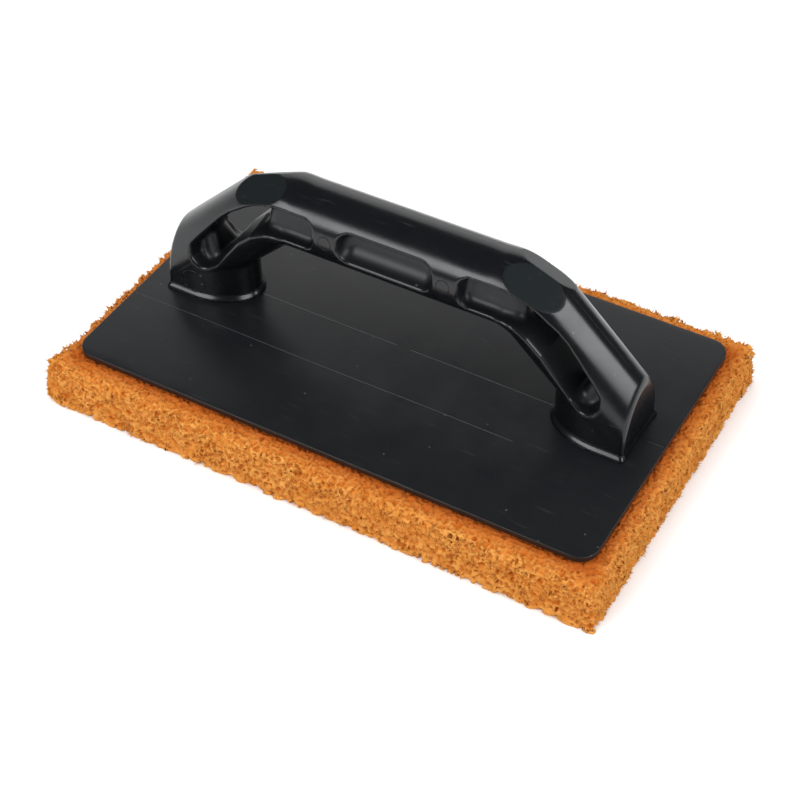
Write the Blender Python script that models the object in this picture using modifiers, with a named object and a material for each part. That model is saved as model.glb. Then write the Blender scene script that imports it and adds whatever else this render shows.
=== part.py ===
"""Grout float: a sponge pad glued under a plastic plate that a bridge handle is screwed to.

Frame: origin on the floor under the middle of the pad, +X along the float, +Z up, metres.
"""
import math

import bmesh
import bpy
from mathutils import Matrix, Vector

GAP = 0.0003                     # clearance kept between touching pieces

# Sponge pad, glue film and plate
PAD_LENGTH = 0.280
PAD_WIDTH = 0.174
PAD_HEIGHT = 0.0237
PAD_CORNER = 0.005
GLUE_INSET = 0.004
GLUE_THICKNESS = 0.0005
PLATE_LENGTH = 0.2635
PLATE_WIDTH = 0.151
PLATE_THICKNESS = 0.003
PLATE_CORNER = 0.009
PLATE_EDGE_ROUND = 0.0005

# Handle: a round bar with a level grip and two sloping legs
BAR_RADIUS = 0.0169
BAR_SIDES = 48
GRIP_HEIGHT = 0.0877             # grip axis above the floor
ELBOW_X = 0.062
ELBOW_BEND = 0.028               # bend radius of the bar's axis
ELBOW_STEPS = 8
LEG_SLOPE = math.radians(43.7)
LEG_DEPTH = 0.10                 # how much deeper the legs' outer side is than the grip's
LEG_OVERRUN = 0.010              # leg axis runs past the plate before it is trimmed

# Feet: half an ellipse towards the middle, a flat heel outwards
HEEL_X = 0.1190
FOOT_CENTRE_X = 0.1065
FOOT_INNER_X = 0.0790
FOOT_HALF_WIDTH = 0.0169
FOOT_TOP = 0.0750                # trimmed along the leg's axis
HEEL_CORNER = 0.002
FLARE = 0.0010
FLARE_HEIGHT = 0.0016

# Thumb facets at the elbows
FACET_DISTANCE = 0.0135          # from the elbow point to the flat
FACET_ROLL = math.radians(28.0)
FACET_PITCH = LEG_SLOPE / 2
FACET_BLOCK = 0.060

# Side windows. Outlines are (distance along the bar, offset from its axis) on the +X half.
CORE_THICKNESS = 0.0168           # solid middle left between the front and back pockets
MIDDLE_WINDOW = ((-0.0236, -0.0064), (0.0236, -0.0064), (0.0236, 0.0090), (-0.0236, 0.0090))
ELBOW_WINDOW = ((0.0364, -0.0068), (0.0560, -0.0068), (0.0605, -0.0057), (0.0650, -0.0046),
                (0.0695, -0.0035), (0.0740, -0.0024), (0.0870, -0.0024), (0.1080, -0.0068),
                (0.1172, -0.0040), (0.1172, 0.0040), (0.1120, 0.0082), (0.0960, 0.0100),
                (0.0860, 0.0108), (0.0740, 0.0106), (0.0695, 0.0103), (0.0650, 0.0099),
                (0.0605, 0.0094), (0.0560, 0.0090), (0.0364, 0.0088))
# Between its pockets the elbow window goes right through the bar
THROUGH_HOLE = ((0.0700, -0.0028), (0.0745, -0.0019), (0.0870, -0.0019), (0.1060, -0.0058),
                (0.1025, 0.0088), (0.0860, 0.0103), (0.0740, 0.0101), (0.0695, 0.0098),
                (0.0650, 0.0094), (0.0605, 0.0089))
HOLE_REACH = 0.0100               # half length of the through hole, past both pocket floors
END_ROUND = 0.0050
BEND_ROUND = 0.0012
SHARP_TURN = math.radians(40)     # corners that turn more than this are window ends

# Hollow feet with two screw bosses each
WALL = 0.0032
CORE_HEIGHT = 0.0140
BOSS_RADIUS = 0.0048
BOSS_X = (0.0915, 0.1085)
RIB_THICKNESS = 0.0020
RIB_DROP = 0.0030                # the rib stops short of the foot's underside

# Countersunk self-tapping screws, driven from under the plate
SCREW_RADIUS = 0.0018
SCREW_LENGTH = 0.0140
SCREW_HEAD_RADIUS = 0.0036
SCREW_HEAD_HEIGHT = 0.0020
SCREW_TIP = 0.0020
CROSS_WIDTH = 0.0009
CROSS_DEPTH = 0.0011

PLATE_BOTTOM = PAD_HEIGHT + GAP + GLUE_THICKNESS + GAP
PLATE_TOP = PLATE_BOTTOM + PLATE_THICKNESS
FOOT_BASE = PLATE_TOP + GAP
ROUND_STEPS = 5                  # points along each rounded corner


def clear_scene():
    for obj in list(bpy.data.objects):
        bpy.data.objects.remove(obj, do_unlink=True)


def new_collection(name):
    collection = bpy.data.collections.new(name)
    bpy.context.scene.collection.children.link(collection)
    return collection


def plastic(name, colour, roughness, metallic=0.0):
    material = bpy.data.materials.new(name)
    material.use_nodes = True
    shader = material.node_tree.nodes["Principled BSDF"]
    shader.inputs["Base Color"].default_value = (*colour, 1.0)
    shader.inputs["Roughness"].default_value = roughness
    shader.inputs["Metallic"].default_value = metallic
    return material


def rounded(corners, radius, steps=ROUND_STEPS):
    """Points of a closed outline whose corners are rounded by arcs."""
    points = []
    count = len(corners)
    for index, corner in enumerate(corners):
        here = Vector(corner)
        back = (Vector(corners[index - 1]) - here).normalized()
        ahead = (Vector(corners[(index + 1) % count]) - here).normalized()
        half = back.angle(ahead) / 2
        centre = here + (back + ahead).normalized() * (radius / math.sin(half))
        first = here + back * (radius / math.tan(half)) - centre
        last = here + ahead * (radius / math.tan(half)) - centre
        for step in range(steps + 1):
            points.append(centre + first.slerp(last, step / steps).normalized() * radius)
    return points


def rectangle(length, width, radius):
    x = length / 2
    y = width / 2
    return rounded([(-x, -y), (x, -y), (x, y), (-x, y)], radius)


def place(mesh, name, collection, material=None):
    obj = bpy.data.objects.new(name, mesh)
    collection.objects.link(obj)
    if material:
        mesh.materials.append(material)
    return obj


def curve_to_mesh(curve_object, name, collection, material=None):
    """Turn a curve object into a welded mesh object in the same place."""
    depsgraph = bpy.context.evaluated_depsgraph_get()
    mesh = bpy.data.meshes.new_from_object(curve_object.evaluated_get(depsgraph))
    mesh.name = name
    bm = bmesh.new()
    bm.from_mesh(mesh)
    bmesh.ops.remove_doubles(bm, verts=bm.verts, dist=0.00001)
    bm.to_mesh(mesh)
    bm.free()
    matrix = curve_object.matrix_world.copy()
    bpy.data.objects.remove(curve_object, do_unlink=True)
    mesh.materials.clear()
    obj = place(mesh, name, collection, material)
    obj.matrix_world = matrix
    return obj


def slab(name, outline, low, high, collection, material=None, upright=False):
    """A flat outline given thickness along Z, or along Y when it stands upright."""
    curve = bpy.data.curves.new(name, "CURVE")
    curve.dimensions = "2D"
    curve.fill_mode = "BOTH"
    curve.extrude = (high - low) / 2
    spline = curve.splines.new("POLY")
    spline.points.add(len(outline) - 1)
    spline.use_cyclic_u = True
    for point, target in zip(spline.points, outline):
        point.co = (target[0], target[1], 0.0, 1.0)
    obj = bpy.data.objects.new(name, curve)
    collection.objects.link(obj)
    middle = (low + high) / 2
    if upright:
        obj.matrix_world = Matrix.Translation((0, middle, 0)) @ Matrix.Rotation(math.pi / 2, 4, "X")
    else:
        obj.matrix_world = Matrix.Translation((0, 0, middle))
    bpy.context.view_layer.update()
    return curve_to_mesh(obj, name, collection, material)


def box(name, size, centre, collection, turn=None):
    mesh = bpy.data.meshes.new(name)
    bm = bmesh.new()
    bmesh.ops.create_cube(bm, size=1.0, matrix=Matrix.Diagonal((*size, 1.0)))
    bm.to_mesh(mesh)
    bm.free()
    obj = place(mesh, name, collection)
    obj.matrix_world = Matrix.Translation(centre) @ (turn or Matrix.Identity(4))
    return obj


def cylinder(name, low_radius, high_radius, low, high, x, collection, segments=24):
    mesh = bpy.data.meshes.new(name)
    bm = bmesh.new()
    bmesh.ops.create_cone(bm, cap_ends=True, segments=segments, radius1=low_radius,
                          radius2=high_radius, depth=high - low)
    bm.to_mesh(mesh)
    bm.free()
    obj = place(mesh, name, collection)
    obj.location = (x, 0, (low + high) / 2)
    return obj


def boolean(target, tool, operation):
    tool.display_type = "WIRE"
    tool.hide_render = True
    modifier = target.modifiers.new(f"{operation.lower()} {tool.name}", "BOOLEAN")
    modifier.operation = operation
    modifier.solver = "EXACT"
    modifier.object = tool


def smooth(obj, angle=math.radians(30)):
    obj.data.shade_smooth()
    obj.data.set_sharp_from_angle(angle=angle)


def mirrored(outline, side):
    """The outline on the +X side, or its mirror image on the -X side."""
    if side > 0:
        return outline
    return [(-x, y) for x, y in reversed([(p[0], p[1]) for p in outline])]


def foot_outline(grow=0.0):
    """Plan of the +X foot: half an ellipse inwards, a flat heel with rounded corners outwards."""
    length = FOOT_CENTRE_X - FOOT_INNER_X + grow
    half_width = FOOT_HALF_WIDTH + grow
    heel = HEEL_X + grow
    steps = 20
    points = []
    for step in range(steps + 1):
        angle = math.pi / 2 + math.pi * step / steps
        points.append(Vector((FOOT_CENTRE_X + length * math.cos(angle), half_width * math.sin(angle))))
    for sign in (-1, 1):
        centre = Vector((heel - HEEL_CORNER, sign * (half_width - HEEL_CORNER)))
        start = 0 if sign > 0 else -math.pi / 2
        for step in range(ROUND_STEPS + 1):
            angle = start + math.pi / 2 * step / ROUND_STEPS
            points.append(centre + Vector((math.cos(angle), math.sin(angle))) * HEEL_CORNER)
    return points


def leg_point(along, offset):
    """A point beside the +X leg's axis: along it from the elbow, and offset towards its top."""
    x = ELBOW_X + along * math.cos(LEG_SLOPE) + offset * math.sin(LEG_SLOPE)
    z = GRIP_HEIGHT - along * math.sin(LEG_SLOPE) + offset * math.cos(LEG_SLOPE)
    return (x, z)


def bar_point(along, offset):
    """XZ of a point given along the +X half of the bar's axis and offset to its outer side."""
    bend_x = ELBOW_X - ELBOW_BEND * math.tan(LEG_SLOPE / 2)
    bend_length = ELBOW_BEND * LEG_SLOPE
    if along < bend_x:
        return (along, GRIP_HEIGHT + offset)
    if along < bend_x + bend_length:
        angle = (along - bend_x) / ELBOW_BEND
        radius = ELBOW_BEND + offset
        return (bend_x + radius * math.sin(angle), GRIP_HEIGHT - ELBOW_BEND + radius * math.cos(angle))
    tangent = ELBOW_BEND * math.tan(LEG_SLOPE / 2)
    return leg_point(tangent + along - bend_x - bend_length, offset)


def softened(table):
    """A table of bar points as an outline in XZ, its ends rounded more than its bends."""
    corners = [Vector(bar_point(*point)) for point in table]
    points = []
    for index, here in enumerate(corners):
        before = here - corners[index - 1]
        after = corners[(index + 1) % len(corners)] - here
        turn = before.angle(after)
        radius = END_ROUND if turn > SHARP_TURN else BEND_ROUND
        room = min(before.length, after.length) / 2
        radius = min(radius, 0.9 * room / math.tan(turn / 2))
        trio = [corners[index - 1], here, corners[(index + 1) % len(corners)]]
        points += rounded(trio, radius)[ROUND_STEPS + 1:2 * (ROUND_STEPS + 1)]
    return points


def bar_path():
    """Stations of the bent bar from -X to +X: axis point in XZ, lean of its outer side, depth."""
    run = (GRIP_HEIGHT - FOOT_BASE) / math.sin(LEG_SLOPE) + LEG_OVERRUN
    bend_x = ELBOW_X - ELBOW_BEND * math.tan(LEG_SLOPE / 2)
    half = []
    for step in range(ELBOW_STEPS + 1):
        share = step / ELBOW_STEPS
        angle = LEG_SLOPE * share
        half.append((bend_x + ELBOW_BEND * math.sin(angle),
                     GRIP_HEIGHT - ELBOW_BEND * (1 - math.cos(angle)), angle, LEG_DEPTH * share))
    half.append((*leg_point(run, 0.0), LEG_SLOPE, LEG_DEPTH))
    return [(-x, z, -lean, depth) for x, z, lean, depth in reversed(half)] + half


def build_bar(parts, material):
    """The bar as rings of points, round in the grip and deeper on the outer side of the legs."""
    mesh = bmesh.new()
    rings = []
    for x, z, lean, depth in bar_path():
        ring = []
        for step in range(BAR_SIDES):
            turn = math.tau * (step + 0.5) / BAR_SIDES
            across = BAR_RADIUS * math.cos(turn)
            out = BAR_RADIUS * math.sin(turn)
            if out > 0:
                out *= 1 + depth
            ring.append(mesh.verts.new((x + out * math.sin(lean), across, z + out * math.cos(lean))))
        rings.append(ring)
    for here, ahead in zip(rings, rings[1:]):
        for step in range(BAR_SIDES):
            following = (step + 1) % BAR_SIDES
            mesh.faces.new((here[step], here[following], ahead[following], ahead[step]))
    mesh.faces.new(rings[0])
    mesh.faces.new(rings[-1])
    bmesh.ops.recalc_face_normals(mesh, faces=mesh.faces)
    data = bpy.data.meshes.new("handle")
    mesh.to_mesh(data)
    mesh.free()
    data.materials.append(material)
    bar = bpy.data.objects.new("handle", data)
    parts.objects.link(bar)
    return bar


def build_handle(parts, cutters, material):
    handle = build_bar(parts, material)
    for side, name in ((-1, "left"), (1, "right")):
        heel_size = (PAD_WIDTH, PAD_WIDTH, PAD_WIDTH)
        heel_centre = (side * (HEEL_X + PAD_WIDTH / 2), 0, FOOT_BASE)
        boolean(handle, box(f"{name} heel", heel_size, heel_centre, cutters), "DIFFERENCE")
        outline = mirrored(foot_outline(), side)
        flare = mirrored(foot_outline(FLARE), side)
        foot = slab(f"{name} foot", outline, FOOT_BASE, FOOT_TOP, cutters)
        trim_turn = Matrix.Rotation(side * LEG_SLOPE, 4, "Y")
        trim_lift = trim_turn.to_3x3() @ Vector((0, 0, PAD_WIDTH / 2))
        trim_centre = Vector((side * ELBOW_X, 0, GRIP_HEIGHT)) + trim_lift
        trim_size = (2 * PAD_WIDTH, PAD_WIDTH, PAD_WIDTH)
        boolean(foot, box(f"{name} foot trim", trim_size, trim_centre, cutters, trim_turn), "DIFFERENCE")
        boolean(handle, foot, "UNION")
        flange = slab(f"{name} foot flare", flare, FOOT_BASE, FOOT_BASE + FLARE_HEIGHT, cutters)
        boolean(handle, flange, "UNION")

    trim_size = (3 * PAD_LENGTH / 2, PAD_WIDTH, PAD_WIDTH)
    trim = box("underside trim", trim_size, (0, 0, FOOT_BASE - PAD_WIDTH / 2), cutters)
    boolean(handle, trim, "DIFFERENCE")

    reach = 2 * BAR_RADIUS
    for side, name in ((-1, "left"), (1, "right")):
        for face, face_name in ((-1, "front"), (1, "back")):
            turn = (Matrix.Rotation(side * FACET_PITCH, 4, "Y")
                    @ Matrix.Rotation(-face * FACET_ROLL, 4, "X"))
            normal = turn.to_3x3() @ Vector((0, 0, 1))
            centre = Vector((side * ELBOW_X, 0, GRIP_HEIGHT))
            centre += normal * (FACET_DISTANCE + FACET_BLOCK / 2)
            facet = box(f"{name} {face_name} facet", (FACET_BLOCK,) * 3, centre, cutters, turn)
            boolean(handle, facet, "DIFFERENCE")

    for face, face_name in ((-1, "front"), (1, "back")):
        near = CORE_THICKNESS / 2
        low, high = sorted((face * near, face * reach))
        window = slab(f"{face_name} middle window", softened(MIDDLE_WINDOW), low, high, cutters,
                      upright=True)
        boolean(handle, window, "DIFFERENCE")
        for side, name in ((-1, "left"), (1, "right")):
            outline = mirrored(softened(ELBOW_WINDOW), side)
            window = slab(f"{name} {face_name} window", outline, low, high, cutters, upright=True)
            boolean(handle, window, "DIFFERENCE")

    core_outline = foot_outline(-WALL)
    for side, name in ((-1, "left"), (1, "right")):
        hole = slab(f"{name} through hole", mirrored(softened(THROUGH_HOLE), side),
                    -HOLE_REACH, HOLE_REACH, cutters, upright=True)
        boolean(handle, hole, "DIFFERENCE")
        core_top = FOOT_BASE + CORE_HEIGHT
        core = slab(f"{name} foot core", mirrored(core_outline, side), FOOT_BASE - CORE_HEIGHT,
                    core_top, cutters)
        boolean(handle, core, "DIFFERENCE")
        rib_low = FOOT_BASE + RIB_DROP
        rib_size = (HEEL_X - FOOT_INNER_X - WALL, RIB_THICKNESS, core_top - rib_low + WALL / 2)
        rib_centre = (side * (HEEL_X + FOOT_INNER_X) / 2, 0, (rib_low + core_top + WALL / 2) / 2)
        boolean(handle, box(f"{name} rib", rib_size, rib_centre, cutters), "UNION")
        for number, x in enumerate(BOSS_X, 1):
            boss = cylinder(f"{name} boss {number}", BOSS_RADIUS, BOSS_RADIUS, FOOT_BASE,
                            core_top + WALL / 2, side * x, cutters)
            boolean(handle, boss, "UNION")
            pilot_top = PLATE_BOTTOM + SCREW_LENGTH + GAP
            pilot = cylinder(f"{name} pilot hole {number}", SCREW_RADIUS + GAP, SCREW_RADIUS + GAP,
                             FOOT_BASE - CORE_HEIGHT, pilot_top, side * x, cutters)
            boolean(handle, pilot, "DIFFERENCE")
    smooth(handle)
    return handle


def build_plate(parts, cutters, material):
    plate = slab("base_plate", rectangle(PLATE_LENGTH, PLATE_WIDTH, PLATE_CORNER),
                 PLATE_BOTTOM, PLATE_TOP, parts, material)
    edge = plate.modifiers.new("edge round", "BEVEL")
    edge.width = PLATE_EDGE_ROUND
    edge.segments = 2
    edge.limit_method = "ANGLE"
    edge.angle_limit = math.radians(60)
    slope = (SCREW_HEAD_RADIUS - SCREW_RADIUS) / SCREW_HEAD_HEIGHT
    below = PLATE_THICKNESS
    for side, name in ((-1, "left"), (1, "right")):
        for number, x in enumerate(BOSS_X, 1):
            hole = cylinder(f"{name} screw hole {number}", SCREW_RADIUS + GAP, SCREW_RADIUS + GAP,
                            PLATE_BOTTOM - below, PLATE_TOP + below, side * x, cutters)
            boolean(plate, hole, "DIFFERENCE")
            sink_low = SCREW_HEAD_RADIUS + GAP + slope * below
            sink = cylinder(f"{name} countersink {number}", sink_low, SCREW_RADIUS + GAP,
                            PLATE_BOTTOM - below, PLATE_BOTTOM + SCREW_HEAD_HEIGHT, side * x, cutters)
            boolean(plate, sink, "DIFFERENCE")
    smooth(plate)
    return plate


def screw_mesh():
    """A turned screw, head down, tip up, with its head's face at z = 0."""
    profile = [(0.0, SCREW_LENGTH), (SCREW_RADIUS * 0.35, SCREW_LENGTH),
               (SCREW_RADIUS, SCREW_LENGTH - SCREW_TIP), (SCREW_RADIUS, SCREW_HEAD_HEIGHT),
               (SCREW_HEAD_RADIUS, 0.0), (0.0, 0.0)]
    mesh = bpy.data.meshes.new("screw profile")
    bm = bmesh.new()
    vertices = [bm.verts.new((x, 0, z)) for x, z in profile]
    for first, second in zip(vertices, vertices[1:]):
        bm.edges.new((first, second))
    bm.to_mesh(mesh)
    bm.free()
    return mesh


def build_screws(parts, cutters, material):
    head_low = PLATE_BOTTOM
    for side, name in ((-1, "left"), (1, "right")):
        for number, x in enumerate(BOSS_X, 1):
            screw = place(screw_mesh(), f"handle_screw_{name}_{number}", parts, material)
            screw.location = (side * x, 0, head_low)
            turn = screw.modifiers.new("turn", "SCREW")
            turn.steps = 24
            turn.render_steps = 24
            turn.use_merge_vertices = True
            turn.merge_threshold = 0.00001
            for index, size in enumerate(((3 * CROSS_WIDTH, CROSS_WIDTH), (CROSS_WIDTH, 3 * CROSS_WIDTH)), 1):
                slot = box(f"{name} screw {number} slot {index}", (*size, 2 * CROSS_DEPTH),
                           (side * x, 0, head_low), cutters)
                boolean(screw, slot, "DIFFERENCE")
            smooth(screw)


def main():
    clear_scene()
    parts = new_collection("grout float")
    cutters = new_collection("cutters")
    black = plastic("black polypropylene", (0.012, 0.013, 0.014), 0.32)
    charcoal = plastic("charcoal polypropylene", (0.030, 0.031, 0.033), 0.45)
    foam = plastic("orange foam", (0.78, 0.22, 0.03), 0.95)
    glue = plastic("contact adhesive", (0.30, 0.16, 0.06), 0.60)
    steel = plastic("zinc plated steel", (0.62, 0.62, 0.60), 0.30, 1.0)

    slab("sponge_pad", rectangle(PAD_LENGTH, PAD_WIDTH, PAD_CORNER), 0.0, PAD_HEIGHT, parts, foam)
    slab("adhesive_film", rectangle(PLATE_LENGTH - 2 * GLUE_INSET, PLATE_WIDTH - 2 * GLUE_INSET,
                                    PLATE_CORNER - GLUE_INSET),
         PAD_HEIGHT + GAP, PAD_HEIGHT + GAP + GLUE_THICKNESS, parts, glue)
    build_plate(parts, cutters, charcoal)
    build_handle(parts, cutters, black)
    build_screws(parts, cutters, steel)


main()
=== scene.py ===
"""Looks of the grout float: moulded black handle, charcoal plate and orange open-cell sponge."""
import math

import bmesh
import bpy
import numpy as np
from mathutils import Matrix, Vector


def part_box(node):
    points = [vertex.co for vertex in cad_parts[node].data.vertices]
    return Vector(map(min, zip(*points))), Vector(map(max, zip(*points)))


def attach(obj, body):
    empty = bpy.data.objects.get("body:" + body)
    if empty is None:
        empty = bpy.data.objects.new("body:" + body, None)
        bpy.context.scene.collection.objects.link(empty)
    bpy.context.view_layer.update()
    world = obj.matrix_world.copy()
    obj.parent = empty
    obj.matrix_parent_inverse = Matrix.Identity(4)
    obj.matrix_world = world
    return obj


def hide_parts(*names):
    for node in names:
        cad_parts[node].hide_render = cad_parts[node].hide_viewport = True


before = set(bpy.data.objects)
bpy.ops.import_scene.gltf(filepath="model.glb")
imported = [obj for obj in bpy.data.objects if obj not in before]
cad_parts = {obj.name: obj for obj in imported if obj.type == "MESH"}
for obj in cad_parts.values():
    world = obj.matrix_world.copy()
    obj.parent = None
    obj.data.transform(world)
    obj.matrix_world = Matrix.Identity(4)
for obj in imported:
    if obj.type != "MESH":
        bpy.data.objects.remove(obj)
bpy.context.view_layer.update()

MM = 0.001


def box_mm(node):
    low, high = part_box(node)
    return np.array(low) / MM, np.array(high) / MM


PAD_LOW, PAD_HIGH = box_mm("sponge_pad")
PLATE_LOW, PLATE_HIGH = box_mm("base_plate")
HANDLE_LOW, HANDLE_HIGH = box_mm("handle")

# ---------------------------------------------------------------- fields
# A field is below zero inside a shape and grows about a millimetre per millimetre outside it.
# Lengths in this script are millimetres, up to the point where mesh_object scales them.


def soft_max(a, b, blend):
    """The larger of two fields, with the crease between them rounded over the blend width."""
    near = np.maximum(blend - np.abs(a - b), 0.0) / blend
    return np.maximum(a, b) + near * near * blend / 4


def soft_min(a, b, blend):
    """The smaller of two fields, with the crease between them filled over the blend width."""
    return -soft_max(-a, -b, blend)


def polygon_field(x, z, corners, radius):
    """Distance to a polygon in XZ whose corners are rounded by shrinking it and growing it back."""
    points = np.array(corners, float)
    centre = points.mean(axis=0)
    ahead = np.roll(points, -1, axis=0) - points
    ahead /= np.linalg.norm(ahead, axis=1)[:, None]
    outward = np.stack([ahead[:, 1], -ahead[:, 0]], axis=1)
    if ((points - centre) * outward).sum() < 0:
        outward = -outward
    shrunk = []
    for index in range(len(points)):
        before = outward[index - 1]
        after = outward[index]
        shift = (before + after) / (1 + before @ after)
        shrunk.append(points[index] - shift * radius)
    nearest = np.full(np.broadcast(x, z).shape, 1e9)
    inside = np.zeros(nearest.shape, bool)
    for index, (px, pz) in enumerate(shrunk):
        qx, qz = shrunk[(index + 1) % len(shrunk)]
        ex, ez = qx - px, qz - pz
        wx, wz = x - px, z - pz
        t = np.clip((wx * ex + wz * ez) / (ex * ex + ez * ez), 0.0, 1.0)
        nearest = np.minimum(nearest, np.hypot(wx - t * ex, wz - t * ez))
        if ez:
            inside ^= ((pz > z) != (qz > z)) & (x < px + ex * (z - pz) / ez)
    return np.where(inside, -nearest, nearest) - radius


def grid_axes(low, high, step):
    """The three coordinate lines of a grid from low to high."""
    return [np.arange(low[k], high[k] + step, step) for k in range(3)]


PLANE_PASSES = 10                # times that a vertex is drawn to the planes of its cell
PLANE_PULL = 1.2                 # share of the way that it goes each time


def contour(values, axes, field=None):
    """Quad mesh of the zero surface of a field sampled on a grid, one vertex in each crossed cell.

    With the field itself given, each vertex is drawn to the planes of its cell's crossings, which
    keeps creases crisp.
    """
    inside = values < 0
    shape = np.array(values.shape)
    cells = shape - 1
    crossings = []
    for axis in range(3):
        first = [slice(None)] * 3
        second = [slice(None)] * 3
        first[axis] = slice(0, -1)
        second[axis] = slice(1, None)
        here = inside[tuple(first)]
        change = here != inside[tuple(second)]
        for other in range(3):
            if other != axis:
                edge = [slice(None)] * 3
                edge[other] = 0
                change[tuple(edge)] = False
                edge[other] = -1
                change[tuple(edge)] = False
        at = np.argwhere(change)
        if not len(at):
            continue
        step = np.zeros(3, int)
        step[axis] = 1
        a = values[tuple(at.T)].astype(float)
        b = values[tuple((at + step).T)].astype(float)
        share = a / (a - b)
        point = np.stack([axes[k][at[:, k]] for k in range(3)], axis=1).astype(float)
        spacing = axes[axis][1] - axes[axis][0]
        point[:, axis] += share * spacing
        u, v = (axis + 1) % 3, (axis + 2) % 3
        ring = []
        for du, dv in ((0, 0), (-1, 0), (-1, -1), (0, -1)):
            cell = at.copy()
            cell[:, u] += du
            cell[:, v] += dv
            ring.append(np.ravel_multi_index(tuple(cell.T), tuple(cells)))
        ring = np.stack(ring, axis=1)
        flip = a > b
        ring[flip] = ring[flip][:, ::-1]
        crossings.append((point, ring))
    points = np.concatenate([c[0] for c in crossings])
    rings = np.concatenate([c[1] for c in crossings])
    used, quads = np.unique(rings, return_inverse=True)
    quads = quads.reshape(-1, 4)
    owner = quads.ravel()
    count = np.bincount(owner, minlength=len(used)).astype(float)

    def cell_means(per_corner):
        """The mean over each cell of a vector given once for each corner of each quad."""
        sums = [np.bincount(owner, weights=per_corner[:, k], minlength=len(used)) for k in range(3)]
        return np.stack(sums, axis=1) / count[:, None]

    point4 = np.repeat(points, 4, axis=0)
    vertices = cell_means(point4)
    if field is not None:
        normals = gradient(field, points)
        corner = np.stack(np.unravel_index(used, tuple(cells)), axis=1)
        low = np.stack([axes[k][corner[:, k]] for k in range(3)], axis=1)
        spacing = np.array([axes[k][1] - axes[k][0] for k in range(3)])
        normal4 = np.repeat(normals, 4, axis=0)
        for _ in range(PLANE_PASSES):
            away = ((point4 - vertices[owner]) * normal4).sum(axis=1)
            move = cell_means(away[:, None] * normal4)
            vertices = np.clip(vertices + PLANE_PULL * move, low, low + spacing)
    return vertices, quads


def corner_places(vertices, quads):
    """A point just inside each face at each of its corners, where values stay crisp at creases."""
    corners = vertices[quads]
    towards = corners.mean(axis=1, keepdims=True) - corners
    share = 0.3
    return (corners + share * towards).reshape(-1, 3)


def gradient(field, points, reach=0.02):
    """The unit normals of a field at some points, from its values a short reach to either side."""
    parts = []
    for axis in range(3):
        shift = np.zeros(3)
        shift[axis] = reach
        ahead = field(*(points + shift).T)
        behind = field(*(points - shift).T)
        parts.append(ahead - behind)
    normal = np.stack(parts, axis=1)
    return normal / np.maximum(np.linalg.norm(normal, axis=1), 1e-9)[:, None]


def mesh_object(name, vertices, faces):
    """A smooth-shaded object from vertices in millimetres."""
    mesh = bpy.data.meshes.new(name)
    mesh.vertices.add(len(vertices))
    mesh.vertices.foreach_set("co", (vertices * MM).astype(np.float32).ravel())
    size = faces.shape[1]
    mesh.loops.add(faces.size)
    mesh.loops.foreach_set("vertex_index", faces.astype(np.int32).ravel())
    mesh.polygons.add(len(faces))
    mesh.polygons.foreach_set("loop_start", np.arange(0, faces.size, size, dtype=np.int32))
    mesh.update(calc_edges=True)
    mesh.validate()
    mesh.shade_smooth()
    obj = bpy.data.objects.new(name, mesh)
    bpy.context.scene.collection.objects.link(obj)
    return obj


# ---------------------------------------------------------------- handle

FLARE = 1.0                      # how far the CAD handle's feet spread past its bar
LEG_START = 44.0                 # along the bar, where its outer side begins to deepen
LEG_EASE = 26.0                  # the length it takes to reach its full depth
LEG_DEPTH = 0.10                 # share of the radius that it gains
SKIRT_REACH = 1.7                # of the flared skirt round each foot
SKIRT_HEIGHT = 3.4
BASE_Z = HANDLE_LOW[2]
HEEL_X = HANDLE_HIGH[0] - FLARE
BAR_R = HANDLE_HIGH[1] - FLARE
GRIP_Z = HANDLE_HIGH[2] - BAR_R
ELBOW_X = 62.0
ELBOW_BEND = 28.0
LEG_SLOPE = math.radians(43.7)
BEND_X = ELBOW_X - ELBOW_BEND * math.tan(LEG_SLOPE / 2)
BEND_END_X = BEND_X + ELBOW_BEND * math.sin(LEG_SLOPE)
BEND_END_Z = GRIP_Z - ELBOW_BEND * (1 - math.cos(LEG_SLOPE))
FOOT_CENTRE_X = 106.5
FOOT_REACH = 27.5
FACET_DISTANCE = 13.7            # of the thumb facets from the bar's axis
FACET_ROLL = math.radians(28.0)  # how far they are turned to the front and to the back
WALL = 3.2                       # of the hollow feet
CORE_HEIGHT = 14.0
RIB_HALF = 1.0
BOSS_X = (91.5, 108.5)
BOSS_RADIUS = 4.8
SCREW_HOLE_RADIUS = 2.1
SCREW_HOLE_DEPTH = 11.0

# Window and hole outlines are (distance along the bar, offset from its axis), for x >= 0.
MIDDLE_WINDOW = [(-23.6, -6.4), (23.6, -6.4), (23.6, 9.0), (-23.6, 9.0)]
ELBOW_WINDOW = [(36.4, -7.0), (57, -7.0), (66, -4.4), (74, -2.4), (84, -2.2), (96, -4.6), (108, -7.2),
                (117.2, -5), (117.4, 3), (113.5, 7.6), (106, 8.9), (96, 10.2), (86, 11.3), (79, 11.3),
                (71, 10.2), (64, 9.8), (56, 9.1), (48, 8.8), (36.4, 8.8)]
HOLE = [(76, -14), (56, 16), (102, 16), (112, -14)]
RING_MARKS = [(-104.4, 36.5, 6.2), (-29.6, 89.2, 3.2), (29.6, 89.2, 3.2)]    # x, z and radius
RING_RADIUS = 0.2
WITNESS_LINES = (-37.0, 42.0)
WITNESS_RADIUS = 0.05
SEAM_REACH = 112.0
SEAM_ASIDE = 0.4
SEAM_RADIUS = 0.07
POCKET_FLOOR = 8.4               # of a window, from the middle plane of the handle
POCKET_TILT = 0.27               # how much deeper it lies for each millimetre outwards
WINDOW_DRAFT = 0.12              # how much the windows narrow for each millimetre of depth


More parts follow.
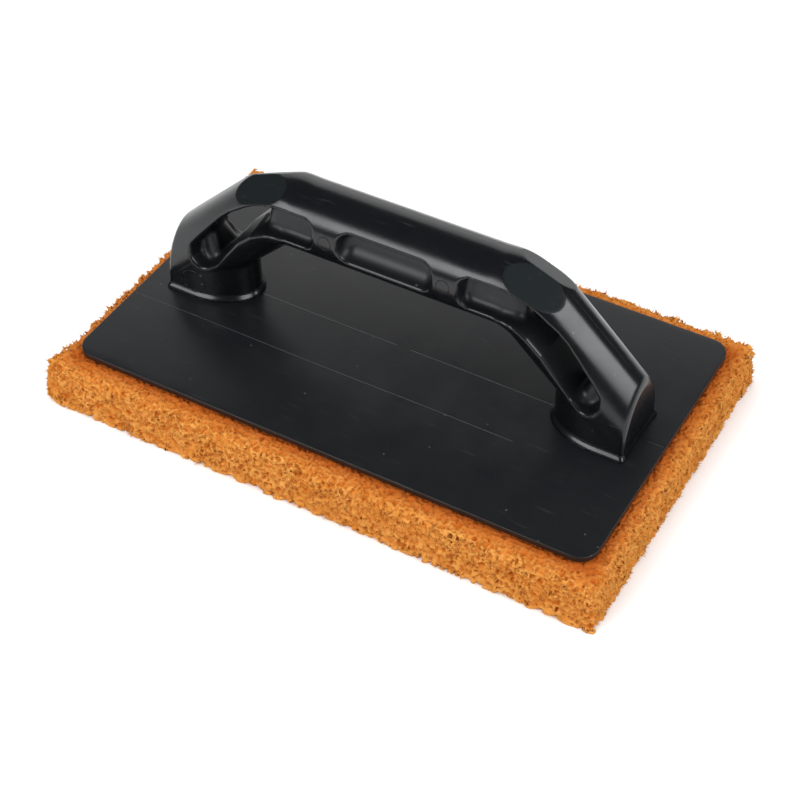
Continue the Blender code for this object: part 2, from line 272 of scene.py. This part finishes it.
def bar_place(x, z):
    """Distance along the bar's axis and signed offset to its outer side, in XZ, for x >= 0."""
    centre_z = GRIP_Z - ELBOW_BEND
    angle = np.arctan2(x - BEND_X, z - centre_z)
    arc = ELBOW_BEND * LEG_SLOPE
    leg_x, leg_z = x - BEND_END_X, z - BEND_END_Z
    down = leg_x * math.cos(LEG_SLOPE) - leg_z * math.sin(LEG_SLOPE)
    out = leg_x * math.sin(LEG_SLOPE) + leg_z * math.cos(LEG_SLOPE)
    bend = np.hypot(x - BEND_X, z - centre_z) - ELBOW_BEND
    on_grip = x < BEND_X
    on_bend = angle < LEG_SLOPE
    along = np.where(on_grip, x, np.where(on_bend, BEND_X + ELBOW_BEND * angle, BEND_X + arc + down))
    offset = np.where(on_grip, z - GRIP_Z, np.where(on_bend, bend, out))
    return along, offset


def foot_plan(x, y):
    """Plan of a foot: half an ellipse inwards, straight sides and a flat heel outwards."""
    u = (x - FOOT_CENTRE_X) / FOOT_REACH
    v = y / BAR_R
    k0 = np.hypot(u, v)
    k1 = np.hypot(u / FOOT_REACH, v / BAR_R)
    ellipse = k0 * (k0 - 1) / np.maximum(k1, 1e-6)
    return np.where(x < FOOT_CENTRE_X, ellipse, y - BAR_R)


def facet_field(x, y, z):
    """Height above the flat oval that is cut across the outside of each elbow."""
    pitch = LEG_SLOPE / 2
    across = (x - ELBOW_X) * math.sin(pitch) + (z - GRIP_Z) * math.cos(pitch)
    return across * math.cos(FACET_ROLL) + y * math.sin(FACET_ROLL) - FACET_DISTANCE


def outer_field(x, y, z):
    """The handle before its windows, facets and hollows are cut."""
    x = np.abs(x)
    y = np.abs(y)
    along, offset = bar_place(x, z)
    on_leg = np.clip((along - LEG_START) / LEG_EASE, 0, 1)
    deep = 1 + LEG_DEPTH * on_leg * on_leg * (3 - 2 * on_leg)
    bar = np.hypot(np.where(offset > 0, offset / deep, offset), y) - BAR_R
    height = np.clip((z - BASE_Z) / SKIRT_HEIGHT, 0, 1)
    skirt = SKIRT_REACH * (0.5 + 0.5 * np.cos(math.pi * height))
    foot = soft_max(foot_plan(x, y) - skirt, offset, 1.0)
    heel = x - HEEL_X + 0.45 * (1 - (y / BAR_R) ** 2) - 0.6 * skirt
    return soft_max(soft_min(bar, foot, 0.8), heel, 2.2)


def handle_field(x, y, z):
    """The whole handle, with its windows, facets and hollow feet."""
    x = np.abs(x)
    y = np.abs(y)
    along, offset = bar_place(x, z)
    hole = polygon_field(along, offset, HOLE, 2.0)
    floor = soft_min(POCKET_FLOOR - POCKET_TILT * offset - y, hole, 6.0)
    middle = polygon_field(along, offset, MIDDLE_WINDOW, 6.5)
    elbow = polygon_field(along, offset, ELBOW_WINDOW, 5.5)
    window = np.minimum(middle, elbow) + WINDOW_DRAFT * (BAR_R - y)
    window = soft_max(window, floor, np.where(middle < elbow, 7.0, 3.0))
    body = soft_max(outer_field(x, y, z), -window, 2.0)
    body = soft_max(body, facet_field(x, y, z), 0.3)

    plan = soft_max(foot_plan(x, y), x - HEEL_X, 2.5)
    core = soft_max(plan + WALL, z - BASE_Z - CORE_HEIGHT, 1.5)
    rib = np.maximum(y - RIB_HALF, BASE_Z + 3 - z)
    core = np.maximum(core, -rib)
    for boss_x in BOSS_X:
        from_axis = np.hypot(x - boss_x, y)
        core = np.maximum(core, BOSS_RADIUS - from_axis)
        screw_hole = np.maximum(from_axis - SCREW_HOLE_RADIUS, z - BASE_Z - SCREW_HOLE_DEPTH)
        core = np.minimum(core, screw_hole)
    body = np.maximum(body, -core)
    return np.maximum(body, BASE_Z - z)


def bead(path, radius, sides=6):
    """A thin round bead along a path of points in millimetres, as vertices and quads."""
    path = np.asarray(path, float)
    ahead = np.gradient(path, axis=0)
    ahead /= np.linalg.norm(ahead, axis=1)[:, None]
    side = np.cross(ahead, [0.1, 0.2, 1.0])
    side /= np.linalg.norm(side, axis=1)[:, None]
    lift = np.cross(side, ahead)
    turn = np.arange(sides) * math.tau / sides
    rings = (path[:, None] + radius * (side[:, None] * np.cos(turn)[None, :, None]
                                       + lift[:, None] * np.sin(turn)[None, :, None]))
    quads = []
    for k in range(len(path) - 1):
        for m in range(sides):
            quads.append((k * sides + m, k * sides + (m + 1) % sides,
                          (k + 1) * sides + (m + 1) % sides, (k + 1) * sides + m))
    return rings.reshape(-1, 3), np.array(quads)


def joined(parts):
    """Several meshes, each as vertices and faces, put together as one."""
    vertices = []
    faces = []
    count = 0
    for part_vertices, part_faces in parts:
        vertices.append(part_vertices)
        faces.append(part_faces + count)
        count += len(part_vertices)
    return np.concatenate(vertices), np.concatenate(faces)


def onto_handle(points, towards):
    """Points moved along a direction until they lie on the handle's surface."""
    points = np.array(points, float)
    towards = np.array(towards, float)
    careful = 0.8
    for _ in range(30):
        points = points + handle_field(*points.T)[:, None] * towards * careful
    return points


def matt_share(points):
    """How matt the handle is at each point: fully on the facets, half down the windows."""
    x, y, z = points.T
    facet = facet_field(np.abs(x), np.abs(y), z) > -0.08
    sunk = np.clip((-outer_field(x, y, z) - 0.6) / 1.6, 0.0, 0.5)
    return np.maximum(facet, sunk)


def ring_mark(x, z, radius):
    """A moulded circle on the front of the handle."""
    turn = np.linspace(0, math.tau, 41)
    ahead = np.full(len(turn), -BAR_R - 1.0)
    start = np.stack([x + radius * np.cos(turn), ahead, z + radius * np.sin(turn)], axis=1)
    return bead(onto_handle(start, (0, 1, 0)), RING_RADIUS)


def parting_line():
    """The line that the mould's halves leave along the top of the handle."""
    along = np.linspace(-SEAM_REACH, SEAM_REACH, 120)
    aside = np.full(len(along), SEAM_ASIDE)
    above = np.full(len(along), GRIP_Z + BAR_R + 1.0)
    return bead(onto_handle(np.stack([along, aside, above], axis=1), (0, 0, -1)), SEAM_RADIUS)


def witness_line(place):
    """The faint line that a mould insert leaves round the grip."""
    around = np.radians(np.linspace(-60, 120, 40))
    along = np.full(len(around), place)
    return bead(np.stack([along, -BAR_R * np.sin(around), GRIP_Z + BAR_R * np.cos(around)], axis=1),
                WITNESS_RADIUS)


def build_handle():
    """The handle as one moulding, with a custom normal at every corner so that creases stay crisp."""
    step = 0.8
    pad = 2.0
    off_grid = np.array([0.013, 0.017, 0.0])
    low = HANDLE_LOW - pad + off_grid
    low[2] = BASE_Z - 1.37 * step
    axes = grid_axes(low, HANDLE_HIGH + pad, step)
    x, y, z = np.meshgrid(*axes, indexing="ij", sparse=True)
    values = handle_field(x, y, z)
    vertices, quads = contour(values, axes, handle_field)
    places = corner_places(vertices, quads)
    normals = gradient(handle_field, places)
    parts = [(vertices, quads), parting_line()]
    parts += [ring_mark(*mark) for mark in RING_MARKS]
    parts += [witness_line(place) for place in WITNESS_LINES]
    main_loops = quads.size
    vertices, faces = joined(parts)
    obj = mesh_object("handle_moulding", vertices, faces)
    loops = np.zeros((len(obj.data.loops), 3), np.float32)
    loops[:main_loops] = normals
    obj.data.normals_split_custom_set(loops.tolist())
    matt = np.zeros(len(obj.data.loops), np.float32)
    matt[:main_loops] = matt_share(places)
    attribute = obj.data.attributes.new("matt", "FLOAT", "CORNER")
    attribute.data.foreach_set("value", matt)
    return obj


# ---------------------------------------------------------------- plate


PLATE_CORNER = 9.0
PLATE_EDGE = 0.35                # radius of its upper edge
PLATE_CHAMFER = 0.25             # along its lower edge
HAIRLINE_RADIUS = 0.09


def plate_rings():
    """How far in and how high each outline of the plate lies, from its underside to its top."""
    rings = [(PLATE_CHAMFER, PLATE_LOW[2]), (0.0, PLATE_LOW[2] + PLATE_CHAMFER)]
    for k in range(7):
        angle = k * math.pi / 12
        inset = PLATE_EDGE * (1 - math.cos(angle))
        rings.append((inset, PLATE_HIGH[2] - PLATE_EDGE * (1 - math.sin(angle))))
    return rings


def build_plate():
    """The plate with its rounded edge, and the hairline ribs that run along its top."""
    half = (PLATE_HIGH - PLATE_LOW) / 2
    corner = PLATE_CORNER
    rings = plate_rings()
    vertices = []
    steps = 16
    for inset, z in rings:
        for quarter, (sx, sy) in enumerate(((1, 1), (-1, 1), (-1, -1), (1, -1))):
            for k in range(steps + 1):
                angle = (quarter + k / steps) * math.pi / 2
                reach = corner - inset
                vertices.append((sx * (half[0] - corner) + reach * math.cos(angle),
                                 sy * (half[1] - corner) + reach * math.sin(angle), z))
    count = 4 * (steps + 1)
    mesh = bmesh.new()
    verts = [mesh.verts.new(Vector(v) * MM) for v in vertices]
    for k in range(len(rings) - 1):
        for m in range(count):
            n = (m + 1) % count
            mesh.faces.new((verts[k * count + m], verts[k * count + n],
                            verts[(k + 1) * count + n], verts[(k + 1) * count + m]))
    mesh.faces.new(verts[:count][::-1])
    mesh.faces.new(verts[-count:])
    edge_x = half[0] - 1
    sunk = PLATE_HIGH[2] - 0.02
    hairlines = [(-80.0, -3.0, 0.0), (4.0, 80.0, 0.0), (119.5, edge_x, 0.0),
                 (-edge_x, -119.5, 0.0), (-edge_x, 72.0, -29.0)]
    for from_x, to_x, y in hairlines:
        path = np.linspace((from_x, y, sunk), (to_x, y, sunk), 24)
        path[:, 1] += 0.15 * np.sin(path[:, 0] * 0.05)
        points, quads = bead(path, HAIRLINE_RADIUS)
        added = [mesh.verts.new(Vector(v) * MM) for v in points]
        for quad in quads:
            mesh.faces.new([added[k] for k in quad])
    data = bpy.data.meshes.new("plate_moulding")
    mesh.to_mesh(data)
    mesh.free()
    obj = bpy.data.objects.new("plate_moulding", data)
    bpy.context.scene.collection.objects.link(obj)
    data.shade_smooth()
    data.set_sharp_from_angle(angle=math.radians(35))
    return obj


# ---------------------------------------------------------------- sponge

PAD_CORNER = 2.5
PAD_RIM = 4.0                    # how softly its top turns down to its sides
PAD_LEAN = 0.8                   # how far its sides stand out at the floor, and back in at the top
PULL_REACH = 2.5                 # of the front left corner, which is pulled out
PULL_WIDTH = 14.0
PORE_SPACING = 1.85
PORE_RADII = (0.70, 1.05)
WIDE_PORES = 0.04                # share of the pores that are half as wide again
DEEPER_PORES = 0.45              # share of the pores that have a hole in their floor
TUFTS = 11_000
TUFT_ROOT = 0.4                  # how deep they are rooted in the skin
SPONGE_TRIANGLES = 400_000
SPONGE_ROOM = 5.0                # round the pad in the grid, so that no torn edge is cut off
FLOOR_GAP = 0.02


def slab_field(x, y, z):
    """The sponge without its pores: a slab with a soft rim."""
    half = (PAD_HIGH - PAD_LOW) / 2
    corner = PAD_CORNER
    lean = PAD_LEAN * (1 - 2 * z / PAD_HIGH[2])
    pulled = PULL_REACH * np.exp(-((x + half[0]) ** 2 + (y + half[1]) ** 2) / PULL_WIDTH ** 2)
    qx = np.abs(x) - (half[0] + lean + pulled - corner)
    qy = np.abs(y) - (half[1] + lean - corner)
    plan = np.hypot(np.maximum(qx, 0), np.maximum(qy, 0)) + np.minimum(np.maximum(qx, qy), 0) - corner
    body = soft_max(plan, z - PAD_HIGH[2], PAD_RIM)
    return soft_max(body, -z, 1.0)


def lattice_noise(rng, axes, spacing):
    """Smooth noise between -1 and 1 on a grid, from random values a given distance apart."""
    counts = [int((axis[-1] - axis[0]) / spacing) + 3 for axis in axes]
    values = rng.uniform(-1, 1, counts).astype(np.float32)
    for k, axis in enumerate(axes):
        place = (axis - axis[0]) / spacing
        base = place.astype(int)
        share = place - base
        share = share * share * (3 - 2 * share)
        shape = [1, 1, 1]
        shape[k] = len(axis)
        lower = np.take(values, base, axis=k)
        upper = np.take(values, base + 1, axis=k)
        values = lower + (upper - lower) * share.reshape(shape).astype(np.float32)
    return values


def pore_places(rng):
    """Centres and radii of the cells cut open at the sponge's surface, and of holes deeper in them."""
    lines = [np.arange(PAD_LOW[k] - 1, PAD_HIGH[k] + 1, PORE_SPACING) for k in range(3)]
    centres = np.stack(np.meshgrid(*lines, indexing="ij"), axis=-1).reshape(-1, 3)
    centres = centres + rng.uniform(-0.36, 0.36, centres.shape) * PORE_SPACING
    radii = rng.uniform(*PORE_RADII, len(centres))
    radii[rng.uniform(0, 1, len(centres)) < WIDE_PORES] *= 1.5
    depth = -slab_field(*centres.T)
    under_plate = (np.abs(centres[:, :2]) < PLATE_HIGH[:2] - 6).all(axis=1) & (centres[:, 2] > 6)
    spared = (centres[:, 2] < 3) & (rng.uniform(0, 1, len(centres)) < 0.5)
    keep = (np.abs(depth - 0.4) < PORE_SPACING / 2) & ~under_plate & ~spared
    centres, radii, depth = centres[keep], radii[keep], depth[keep]
    out = gradient(slab_field, centres)
    wanted = rng.uniform(0.0, 0.5, len(centres))
    centres = centres + out * (depth - wanted)[:, None]
    deeper = rng.uniform(0, 1, len(centres)) < DEEPER_PORES
    holes = centres[deeper] - out[deeper] * (0.9 * radii[deeper])[:, None]
    return np.concatenate([centres, holes]), np.concatenate([radii, 0.65 * radii[deeper]])


def cut_pores(values, axes, step, centres, radii):
    """Hollows a ball out of the sampled field round each centre, in place."""
    low = np.array([axis[0] for axis in axes])
    for centre, radius in zip(centres, radii):
        reach = radius + step
        start = np.maximum(((centre - reach - low) / step).astype(int), 0)
        stop = ((centre + reach - low) / step).astype(int) + 2
        block = tuple(slice(start[k], stop[k]) for k in range(3))
        dx = axes[0][block[0], None, None] - centre[0]
        dy = axes[1][None, block[1], None] - centre[1]
        dz = axes[2][None, None, block[2]] - centre[2]
        hollow = radius - np.sqrt(dx * dx + dy * dy + dz * dz)
        values[block] = np.maximum(values[block], hollow)


def tufts(rng, vertices, number):
    """Torn cell walls: thin leaning spikes that stand out of the sponge's sides."""
    on_side = np.flatnonzero((vertices[:, 2] > 1.0) & (slab_field(*vertices.T) > -0.5))
    over_plate = (np.abs(vertices[on_side, :2]) < PLATE_HIGH[:2] + 1.5).all(axis=1)
    roots = vertices[rng.choice(on_side[~over_plate], number)]
    out = gradient(slab_field, roots)
    lean = out + rng.normal(0, 0.5, roots.shape)
    lean /= np.linalg.norm(lean, axis=1)[:, None]
    length = 0.6 + 1.6 * rng.uniform(0, 1, number) ** 2
    width = rng.uniform(0.2, 0.5, number)
    across = np.cross(lean, rng.normal(0, 1, roots.shape))
    across /= np.linalg.norm(across, axis=1)[:, None]
    other = np.cross(lean, across)
    base = roots - TUFT_ROOT * out
    corners = [base + width[:, None] * (math.cos(turn) * across + math.sin(turn) * other)
               for turn in (0.0, math.tau / 3, 2 * math.tau / 3)]
    tip = roots + length[:, None] * lean
    points = np.stack([*corners, tip], axis=1).reshape(-1, 3)
    points[:, 2] = np.clip(points[:, 2], 0.05, PAD_HIGH[2] + 0.6)
    spike = np.array([(0, 1, 3), (1, 2, 3), (2, 0, 3), (2, 1, 0)])
    return points, (spike[None] + 4 * np.arange(number)[:, None, None]).reshape(-1, 3)


def thinned(vertices, faces, number):
    """The triangles brought down to about a number of them, fewest where the surface is flat."""
    obj = mesh_object("thinning", vertices, faces)
    modifier = obj.modifiers.new("thin", "DECIMATE")
    modifier.ratio = number / len(faces)
    mesh = obj.evaluated_get(bpy.context.evaluated_depsgraph_get()).to_mesh()
    mesh.calc_loop_triangles()
    points = np.empty(3 * len(mesh.vertices), np.float32)
    mesh.vertices.foreach_get("co", points)
    corners = np.empty(3 * len(mesh.loop_triangles), np.int32)
    mesh.loop_triangles.foreach_get("vertices", corners)
    data = obj.data
    bpy.data.objects.remove(obj)
    bpy.data.meshes.remove(data)
    return points.reshape(-1, 3) / MM, corners.reshape(-1, 3)


def build_sponge():
    """The sponge: an uneven slab, pierced by pores and bristling with torn cell walls.

    Its depth attribute is 0 on the skin and 1 down in the pores; the material paints shade by it.
    Its near_plate attribute is 1 along the edge of the plate, where the material paints shade.
    """
    step = 0.55
    rng = np.random.default_rng(7)
    low = PAD_LOW - SPONGE_ROOM
    high = PAD_HIGH + SPONGE_ROOM
    low[2] = -1.31 * step
    axes = [line.astype(np.float32) for line in grid_axes(low, high, step)]
    x, y, z = np.meshgrid(*axes, indexing="ij", sparse=True)
    values = slab_field(x, y, z).astype(np.float32)
    values += 0.5 * lattice_noise(rng, axes, 5.0) + 0.7 * lattice_noise(rng, axes, 1.7)
    values = np.maximum(values, z - PAD_HIGH[2])
    values = np.maximum(values, -z)
    cut_pores(values, axes, step, *pore_places(rng))
    vertices, quads = contour(values, axes)
    ragged = rng.normal(0, 0.12, vertices.shape)
    ragged[(vertices[:, 2] < 0.4) | (vertices[:, 2] > PAD_HIGH[2] - 0.2)] = 0
    vertices = vertices + ragged
    faces = np.concatenate([quads[:, (0, 1, 2)], quads[:, (0, 2, 3)]])
    vertices, faces = thinned(vertices, faces, SPONGE_TRIANGLES)
    vertices, faces = joined([(vertices, faces), tufts(rng, vertices, TUFTS)])
    vertices[:, 2] = np.maximum(vertices[:, 2], FLOOR_GAP)
    obj = mesh_object("sponge", vertices, faces)
    depth = np.clip(-slab_field(*vertices.T) / 1.8, 0, 1)
    # Closeness to the plate's edge, where the material paints shade
    beyond = np.abs(vertices[:, :2]) - PLATE_HIGH[:2]
    beyond = np.hypot(*np.maximum(beyond, 0).T)
    at_top = np.clip((vertices[:, 2] - PAD_HIGH[2] + 4) / 4, 0, 1)
    near = np.clip(1 - beyond / 9.0, 0, 1) * at_top
    for name, value in (("depth", depth), ("near_plate", near)):
        attribute = obj.data.attributes.new(name, "FLOAT", "POINT")
        attribute.data.foreach_set("value", value.astype(np.float32))
    return obj


# ---------------------------------------------------------------- materials


def material(name):
    """A new material, with its nodes, its links and its Principled shader."""
    mat = bpy.data.materials.new(name)
    mat.use_nodes = True
    nodes = mat.node_tree.nodes
    return mat, nodes, mat.node_tree.links, nodes["Principled BSDF"]


def noise(nodes, links, place, size, detail=4.0, roughness=0.5):
    """Noise with features of about a size in metres."""
    node = nodes.new("ShaderNodeTexNoise")
    node.inputs["Scale"].default_value = 1 / size
    node.inputs["Detail"].default_value = detail
    node.inputs["Roughness"].default_value = roughness
    links.new(place.outputs["Object"], node.inputs["Vector"])
    return node.outputs["Fac"]


def ranged(nodes, links, source, low, high, to_low, to_high):
    """A value mapped from one range to another and kept inside it."""
    node = nodes.new("ShaderNodeMapRange")
    for name, value in (("From Min", low), ("From Max", high), ("To Min", to_low), ("To Max", to_high)):
        node.inputs[name].default_value = value
    links.new(source, node.inputs["Value"])
    return node.outputs["Result"]


def mixed(nodes, links, share, first, second):
    """A colour between two others, each fixed or linked."""
    node = nodes.new("ShaderNodeMix")
    node.data_type = "RGBA"
    links.new(share, node.inputs["Factor"])
    for name, value in (("A", first), ("B", second)):
        socket = [i for i in node.inputs if i.name == name and i.type == "RGBA"][0]
        if isinstance(value, tuple):
            socket.default_value = (*value, 1)
        else:
            links.new(value, socket)
    return [o for o in node.outputs if o.type == "RGBA"][0]


def math_node(nodes, links, operation, first, second):
    """The result of a sum on two values, each fixed or linked."""
    node = nodes.new("ShaderNodeMath")
    node.operation = operation
    for socket, value in zip(node.inputs, (first, second)):
        if isinstance(value, float):
            socket.default_value = value
        else:
            links.new(value, socket)
    return node.outputs[0]


def blended(nodes, links, share, first, second):
    """A number between a first, linked value and a second, fixed one."""
    node = nodes.new("ShaderNodeMix")
    links.new(share, node.inputs["Factor"])
    links.new(first, node.inputs["A"])
    node.inputs["B"].default_value = second
    return node.outputs["Result"]


def bumped(nodes, links, shader, height, strength, distance):
    """Gives a shader a bumpy surface from a height."""
    bump = nodes.new("ShaderNodeBump")
    bump.inputs["Strength"].default_value = strength
    bump.inputs["Distance"].default_value = distance
    links.new(height, bump.inputs["Height"])
    links.new(bump.outputs["Normal"], shader.inputs["Normal"])


SPECK_SCALE = 260
STREAK_SCALE = 60
PLASTIC_IOR = 1.49


def plastic(name, colour, dust, roughness, spread, wave, matt=None):
    """Moulded plastic: cloudy sheen, faint waviness, hairline scuffs and specks of dust.

    With a matt colour and roughness, the surface turns to those where its matt attribute says so.
    """
    mat, nodes, links, shader = material(name)
    place = nodes.new("ShaderNodeTexCoord")
    cloud = noise(nodes, links, place, 0.018)
    sheen = ranged(nodes, links, cloud, 0.3, 0.7, roughness - spread, roughness + spread)
    if matt:
        share = nodes.new("ShaderNodeAttribute")
        share.attribute_name = "matt"
        matt_part = share.outputs["Fac"]
        windows = ranged(nodes, links, matt_part, 0.0, 0.5, 0.0, 1.0)
        sheen = blended(nodes, links, windows, sheen, matt[1])
    links.new(sheen, shader.inputs["Roughness"])
    speck = nodes.new("ShaderNodeTexVoronoi")
    speck.inputs["Scale"].default_value = SPECK_SCALE
    links.new(place.outputs["Object"], speck.inputs["Vector"])
    near = ranged(nodes, links, speck.outputs["Distance"], 0.10, 0.16, 1.0, 0.0)
    rare = nodes.new("ShaderNodeSeparateColor")
    links.new(speck.outputs["Color"], rare.inputs["Color"])
    chosen = ranged(nodes, links, rare.outputs[0], 0.955, 0.96, 0.0, 1.0)
    share = math_node(nodes, links, "MULTIPLY", near, chosen)
    stretch = nodes.new("ShaderNodeMapping")
    stretch.inputs["Scale"].default_value = (1.0, 9.0, 9.0)
    stretch.inputs["Rotation"].default_value = (0.0, 0.0, 0.5)
    links.new(place.outputs["Object"], stretch.inputs["Vector"])
    streak = nodes.new("ShaderNodeTexNoise")
    streak.inputs["Scale"].default_value = STREAK_SCALE
    streak.inputs["Detail"].default_value = 6
    links.new(stretch.outputs["Vector"], streak.inputs["Vector"])
    scuff = ranged(nodes, links, streak.outputs["Fac"], 0.62, 0.75, 0.0, 0.25)
    share = math_node(nodes, links, "MAXIMUM", share, scuff)
    if matt:
        facets = ranged(nodes, links, matt_part, 0.5, 1.0, 0.0, 1.0)
        colour = mixed(nodes, links, facets, colour, matt[0])
    colour = mixed(nodes, links, share, colour, dust)
    links.new(colour, shader.inputs["Base Color"])
    shader.inputs["IOR"].default_value = PLASTIC_IOR
    bumped(nodes, links, shader, noise(nodes, links, place, 0.006, 2.0), wave, 0.0002)
    return mat


FOAM_SKIN = (0.66, 0.265, 0.050)
FOAM_SKIN_PALE = (0.76, 0.355, 0.085)
# Darker fibres, and painted shade in the fine pinholes.
FOAM_FIBRE_AND_PINHOLE_SHADE = (0.54, 0.17, 0.025)
# Painted shade: the darker, redder colour down in the pores.
FOAM_PORE_SHADE = (0.52, 0.135, 0.016)
# Painted shade: the dark red of the sponge along the plate's edge.
FOAM_SHADE_BY_PLATE = (0.38, 0.075, 0.010)


def foam_material():
    """Orange foam: yellower on the skin, with fine fibres, and with painted shade that makes it darker
    and redder down the pores, in its pinholes and along the plate's edge.
    """
    mat, nodes, links, shader = material("orange sponge")
    place = nodes.new("ShaderNodeTexCoord")
    depth = nodes.new("ShaderNodeAttribute")
    depth.attribute_name = "depth"
    near_plate = nodes.new("ShaderNodeAttribute")
    near_plate.attribute_name = "near_plate"
    cloud = noise(nodes, links, place, 0.010, 5.0, 0.6)
    fibre = noise(nodes, links, place, 0.0007, 3.0, 0.7)
    pale = ranged(nodes, links, cloud, 0.35, 0.65, 0.0, 1.0)
    skin = mixed(nodes, links, pale, FOAM_SKIN, FOAM_SKIN_PALE)
    # Pinholes: painted shade in tiny pits, as well as a dip in the bump
    pinhole = nodes.new("ShaderNodeTexVoronoi")
    pinhole.inputs["Scale"].default_value = 1000
    links.new(place.outputs["Object"], pinhole.inputs["Vector"])
    hole = ranged(nodes, links, pinhole.outputs["Distance"], 0.15, 0.45, 0.55, 0.0)
    thread = ranged(nodes, links, fibre, 0.35, 0.60, 0.45, 0.0)
    fibre_and_pinhole_shade = math_node(nodes, links, "MAXIMUM", hole, thread)
    skin = mixed(nodes, links, fibre_and_pinhole_shade, skin, FOAM_FIBRE_AND_PINHOLE_SHADE)
    # Painted shade down the pores, stronger with the depth attribute
    down = ranged(nodes, links, depth.outputs["Fac"], 0.10, 0.8, 0.0, 1.0)
    skin = mixed(nodes, links, down, skin, FOAM_PORE_SHADE)
    # Painted shade along the plate's edge
    colour = mixed(nodes, links, near_plate.outputs["Fac"], skin, FOAM_SHADE_BY_PLATE)
    links.new(colour, shader.inputs["Base Color"])
    shader.inputs["Roughness"].default_value = 0.9
    shader.inputs["Specular IOR Level"].default_value = 0.04
    height = math_node(nodes, links, "SUBTRACT", fibre, hole)
    bumped(nodes, links, shader, height, 0.7, 0.0004)
    return mat


# ---------------------------------------------------------------- stage


CAMERA_AZIMUTH = math.radians(30.47)
CAMERA_ELEVATION = math.radians(44.36)
CAMERA_ROLL = math.radians(-0.7)
CAMERA_DISTANCE = 0.8445
CAMERA_LENS = 80.5
CAMERA_ASIDE = -0.00148
CAMERA_ABOVE = -0.00451
FLOOR_SIZE = 6


def add_camera():
    """The camera at the photograph's angle."""
    azimuth, elevation, roll = CAMERA_AZIMUTH, CAMERA_ELEVATION, CAMERA_ROLL
    back = Vector((math.sin(azimuth) * math.cos(elevation), -math.cos(azimuth) * math.cos(elevation),
                   math.sin(elevation)))
    right = (-back).cross(Vector((0, 0, 1))).normalized()
    up = right.cross(-back)
    right, up = (math.cos(roll) * right + math.sin(roll) * up,
                 math.cos(roll) * up - math.sin(roll) * right)
    data = bpy.data.cameras.new("camera")
    data.lens = CAMERA_LENS
    data.sensor_width = 36
    camera = bpy.data.objects.new("camera", data)
    turn = Matrix((right, up, back)).transposed().to_4x4()
    place = back * CAMERA_DISTANCE + right * CAMERA_ASIDE + up * CAMERA_ABOVE
    camera.matrix_world = Matrix.Translation(place) @ turn
    bpy.context.scene.collection.objects.link(camera)
    bpy.context.scene.camera = camera


def add_softbox(name, towards, distance, size, radiance, colour):
    """A rectangular light of a given brightness, facing the object from a direction."""
    data = bpy.data.lights.new(name, "AREA")
    data.shape = "RECTANGLE"
    data.size, data.size_y = size
    data.energy = radiance * math.pi * size[0] * size[1]
    data.color = colour
    light = bpy.data.objects.new(name, data)
    away = Vector(towards).normalized()
    light.location = away * distance + Vector((0, 0, 0.05))
    light.rotation_euler = away.to_track_quat("Z", "Y").to_euler()
    bpy.context.scene.collection.objects.link(light)
    return light


def add_stage():
    """The pale floor, the dim surroundings and the lights."""
    bpy.ops.mesh.primitive_plane_add(size=FLOOR_SIZE, location=(0, 0, 0))
    floor = bpy.context.object
    floor.name = "studio_floor"
    mat, nodes, links, shader = material("studio floor")
    shader.inputs["Base Color"].default_value = (0.94, 0.94, 0.94, 1)
    shader.inputs["Roughness"].default_value = 0.9
    floor.data.materials.append(mat)
    world = bpy.data.worlds.new("studio")
    world.use_nodes = True
    world.node_tree.nodes["Background"].inputs["Color"].default_value = (1, 1, 1, 1)
    world.node_tree.nodes["Background"].inputs["Strength"].default_value = 0.08
    bpy.context.scene.world = world
    add_softbox("front box", (-0.363, -0.796, 0.486), 1.3, (0.7, 0.55), 6.0, (0.97, 0.99, 1))
    add_softbox("right box", (0.80, -0.14, 0.50), 1.3, (1.4, 0.38), 6.5, (0.95, 0.98, 1))
    add_softbox("back panel", (-0.40, 0.83, 0.34), 1.6, (2.2, 1.0), 1.1, (1, 1, 1))
    top = add_softbox("top panel", (-0.1, -0.2, 1.0), 1.6, (2.4, 2.4), 2.0, (1, 1, 1))
    top.visible_glossy = False
    bpy.context.scene.view_settings.view_transform = "Standard"


add_camera()
add_stage()

black = plastic("black moulding", (0.0035, 0.0042, 0.0052), (0.06, 0.06, 0.06), 0.22, 0.04, 0.05,
                matt=((0.0040, 0.0066, 0.0074), 0.41))
charcoal = plastic("charcoal plate", (0.0075, 0.0080, 0.0092), (0.05, 0.05, 0.05), 0.32, 0.05, 0.08)
steel = plastic("zinc steel", (0.62, 0.62, 0.60), (0.4, 0.4, 0.38), 0.3, 0.05, 0.1)
glue = plastic("adhesive", (0.30, 0.16, 0.06), (0.2, 0.1, 0.03), 0.5, 0.1, 0.3)

handle = build_handle()
handle.data.materials.append(black)
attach(handle, "root")
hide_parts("handle")

sponge = build_sponge()
sponge.data.materials.append(foam_material())
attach(sponge, "root")
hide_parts("sponge_pad")

plate = build_plate()
plate.data.materials.append(charcoal)
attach(plate, "root")
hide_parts("base_plate")

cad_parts["adhesive_film"].data.materials.clear()
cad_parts["adhesive_film"].data.materials.append(glue)
for node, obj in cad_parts.items():
    if node.startswith("handle_screw"):
        obj.data.materials.clear()
        obj.data.materials.append(steel)
